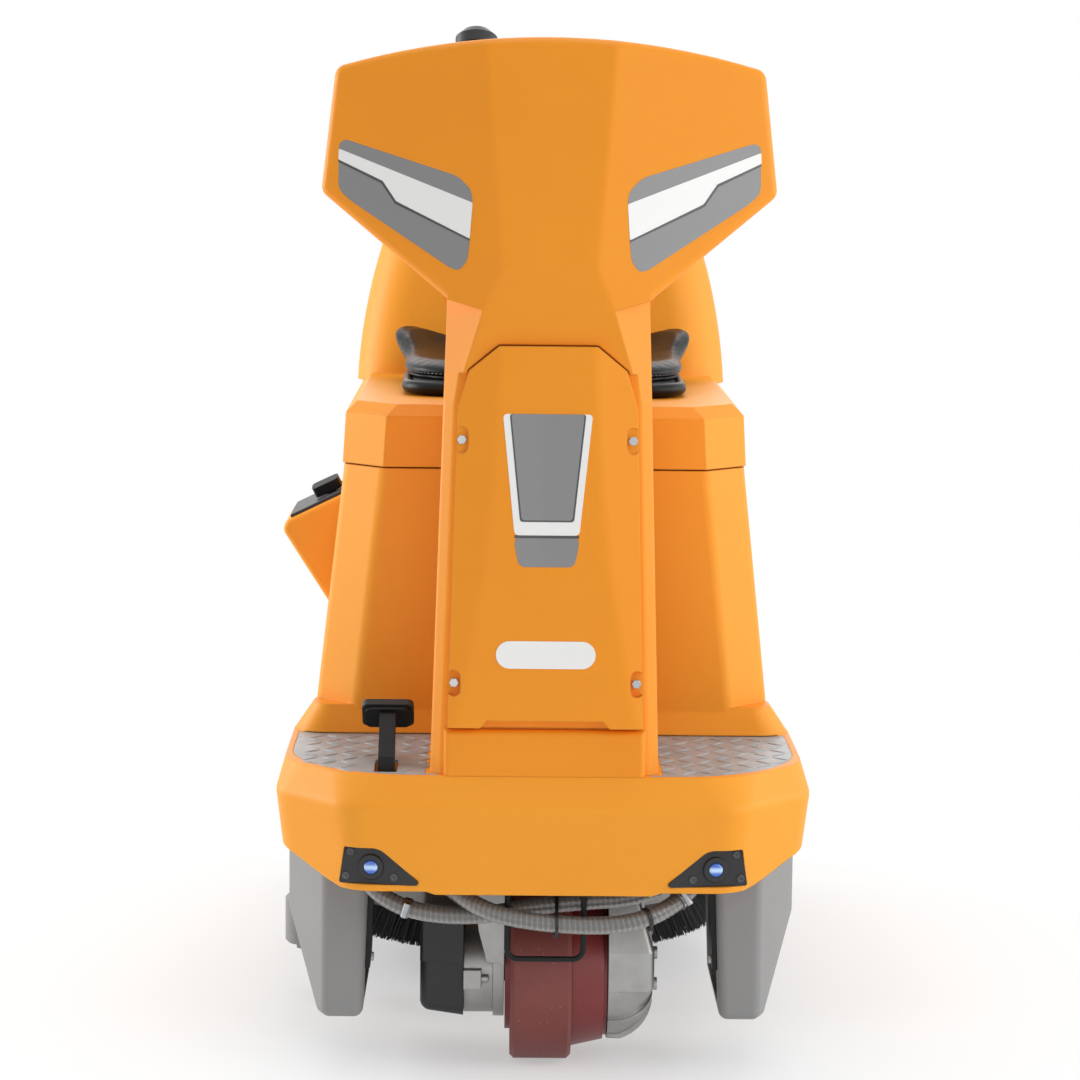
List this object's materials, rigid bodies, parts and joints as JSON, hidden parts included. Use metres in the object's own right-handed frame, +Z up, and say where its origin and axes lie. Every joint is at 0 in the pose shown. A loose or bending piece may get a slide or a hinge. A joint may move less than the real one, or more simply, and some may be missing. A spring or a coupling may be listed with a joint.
{
  "type": "ride-on floor scrubber",
  "caption": "Ride-on floor scrubber with a steered front drive wheel, disc brush deck, rear squeegee, seat on a tilting recovery tank, steering console and foot pedal.",
  "frame": {"origin": "on the floor under the middle of the machine", "axes": "+Z up, -Y towards the machine's front, +X towards the driver's left"},
  "size_m": [0.7, 1.3627, 1.3011],
  "materials": {
    "orange_moulding": "satin moulded polyethylene",
    "black_plastic": "fine-grained moulding",
    "grey_plastic": "fine-grained moulding",
    "seat_vinyl": "grained vinyl",
    "tread_plate": "embossed tread",
    "lens": "clear blue",
    "steel": "zinc plated",
    "black_steel": "powder coat",
    "grey_steel": "powder coat",
    "red_steel": "gloss paint",
    "hose": "translucent with a spiral",
    "tyre": "polyurethane",
    "grey_tyre": "solid rubber",
    "gear_casting": "die cast",
    "aluminium": "anodised",
    "rubber": "matt",
    "nylon": "brush filament",
    "panel": "smooth film",
    "red_plastic": "smooth"
  },
  "bodies": {
    "base": {"chassis_frame": "black_steel", "main_body": "orange_moulding", "footplate_left": "tread_plate", "footplate_right": "tread_plate", "console": "orange_moulding", "service_cover": "orange_moulding", "body_bolts": "steel", "column_foot": "orange_moulding", "lamp_plate_left": "black_plastic", "lamp_plate_right": "black_plastic", "lamp_lenses": "lens", "lamp_screws": "black_steel", "guard_left": "grey_plastic", "guard_right": "grey_plastic", "tow_loop": "black_steel", "hose_supply": "hose", "hose_return": "hose", "hose_ties": "black_plastic", "hose_clamps": "steel", "control_panel": "panel", "batteries": "black_plastic", "rear_axle": "steel", "pedal_bracket": "black_steel", "lever_gate": "black_plastic", "steering_bearing": "steel"},
    "drive_unit": {"drive_fork": "gear_casting", "drive_motor": "black_steel", "motor_cover": "black_plastic", "gear_housing": "gear_casting", "steering_gear": "steel"},
    "drive_wheel": {"drive_tyre": "tyre", "drive_hub": "red_steel"},
    "steering": {"steering_wheel": "black_plastic", "steering_shaft": "steel"},
    "knob": {"spinner_knob": "black_plastic"},
    "pinion": {"steering_pinion": "steel"},
    "pedal": {"accelerator_pedal": "black_steel", "pedal_pad": "rubber"},
    "arms": {"lift_arms": "black_steel"},
    "link": {"upper_link": "black_steel"},
    "deck": {"brush_deck": "grey_steel", "brush_motor": "black_steel"},
    "brush": {"brush_plate": "black_plastic", "brush_bristles": "nylon"},
    "roller": {"deck_roller": "grey_plastic"},
    "squeegee_lift_arm": {"squeegee_arm": "black_steel"},
    "squeegee": {"squeegee_beam": "aluminium", "squeegee_blade_front": "rubber", "squeegee_blade_rear": "rubber", "squeegee_knobs": "black_plastic"},
    "lever": {"squeegee_lever": "black_steel"},
    "wheel_left": {"rear_wheel_left": "grey_tyre"},
    "wheel_right": {"rear_wheel_right": "grey_tyre"},
    "tank": {"recovery_tank": "orange_moulding", "vacuum_motor": "black_steel", "seat_base": "black_plastic", "seat_cushion": "seat_vinyl"},
    "lid": {"tank_lid": "black_plastic"},
    "key": {"key_switch": "steel"},
    "stop": {"emergency_stop": "red_plastic"}
  },
  "joints": [
    {"name": "drive_steer", "type": "hinge", "parent": "base", "child": "drive_unit", "pos_m": [0, -0.465, 0.29], "axis": [0, 0, 1], "range_deg": [-75, 75]},
    {"name": "drive_wheel_spin", "type": "hinge", "parent": "drive_unit", "child": "drive_wheel", "pos_m": [0, -0.465, 0.115], "axis": [1, 0, 0], "continuous": true},
    {"name": "steering_wheel_turn", "type": "hinge", "parent": "base", "child": "steering", "pos_m": [0, -0.372, 1.203], "axis": [0, 0.4226, 0.9063], "range_deg": [-300, 300]},
    {"name": "spinner_knob_spin", "type": "hinge", "parent": "steering", "child": "knob", "pos_m": [-0.09108, -0.46596, 1.24681], "axis": [0, 0.4226, 0.9063], "continuous": true},
    {"name": "pinion_turn", "type": "hinge", "parent": "base", "child": "pinion", "pos_m": [0, -0.537, 0.33], "axis": [0, 0, 1], "range_deg": [-300, 300]},
    {"name": "accelerator_tilt", "type": "hinge", "parent": "base", "child": "pedal", "pos_m": [-0.193, -0.597, 0.362], "axis": [1, 0, 0], "range_deg": [0, 18], "stiffness_Nm_per_rad": 6},
    {"name": "deck_lift", "type": "hinge", "parent": "base", "child": "arms", "pos_m": [0, -0.29, 0.258], "axis": [-1, 0, 0], "range_deg": [0, 17.6]},
    {"name": "deck_level", "type": "hinge", "parent": "arms", "child": "deck", "pos_m": [0, -0.07, 0.2], "axis": [-1, 0, 0], "range_deg": [-17.6, 0]},
    {"name": "upper_link_swing", "type": "hinge", "parent": "base", "child": "link", "pos_m": [0, -0.29, 0.298], "axis": [-1, 0, 0], "range_deg": [0, 17.6]},
    {"name": "brush_spin", "type": "hinge", "parent": "deck", "child": "brush", "pos_m": [-0.02, 0.062, 0.15], "axis": [0, 0, 1], "continuous": true},
    {"name": "deck_roller_spin", "type": "hinge", "parent": "deck", "child": "roller", "pos_m": [-0.316, -0.19, 0.11], "axis": [0, 0, 1], "continuous": true},
    {"name": "squeegee_lift", "type": "hinge", "parent": "base", "child": "squeegee_lift_arm", "pos_m": [0, 0.33, 0.225], "axis": [-1, 0, 0], "range_deg": [0, 8]},
    {"name": "squeegee_lever_tilt", "type": "hinge", "parent": "base", "child": "lever", "pos_m": [-0.282, -0.14, 0.607], "axis": [-1, 0, 0], "range_deg": [0, 25]},
    {"name": "squeegee_swing", "type": "hinge", "parent": "squeegee_lift_arm", "child": "squeegee", "pos_m": [0, 0.575, 0.204], "axis": [0, 0, 1], "range_deg": [-8, 8]},
    {"name": "rear_wheel_left_spin", "type": "hinge", "parent": "base", "child": "wheel_left", "pos_m": [0.21, 0.42, 0.105], "axis": [1, 0, 0], "continuous": true},
    {"name": "rear_wheel_right_spin", "type": "hinge", "parent": "base", "child": "wheel_right", "pos_m": [-0.21, 0.42, 0.105], "axis": [1, 0, 0], "continuous": true},
    {"name": "tank_tilt", "type": "hinge", "parent": "base", "child": "tank", "pos_m": [0, 0.52, 0.762], "axis": [-1, 0, 0], "range_deg": [0, 18]},
    {"name": "lid_tilt", "type": "hinge", "parent": "tank", "child": "lid", "pos_m": [0, 0.4477, 1.1073], "axis": [-1, 0, 0], "range_deg": [0, 95]},
    {"name": "key_turn", "type": "hinge", "parent": "base", "child": "key", "pos_m": [-0.092, -0.46378, 1.15127], "axis": [0, 0.865, 0.5017], "range_deg": [0, 90]},
    {"name": "stop_push", "type": "slide", "parent": "base", "child": "stop", "axis": [0, -0.865, -0.5017], "range_m": [0, 0.005], "stiffness_N_per_m": 900}
  ],
  "couplings": [
    {"joint": "steering_wheel_turn", "follows": "drive_steer", "ratio": 4},
    {"joint": "pinion_turn", "follows": "drive_steer", "ratio": 4},
    {"joint": "deck_level", "follows": "deck_lift", "ratio": -1},
    {"joint": "upper_link_swing", "follows": "deck_lift", "ratio": 1},
    {"joint": "squeegee_lever_tilt", "follows": "squeegee_lift", "ratio": 3.125}
  ]
}
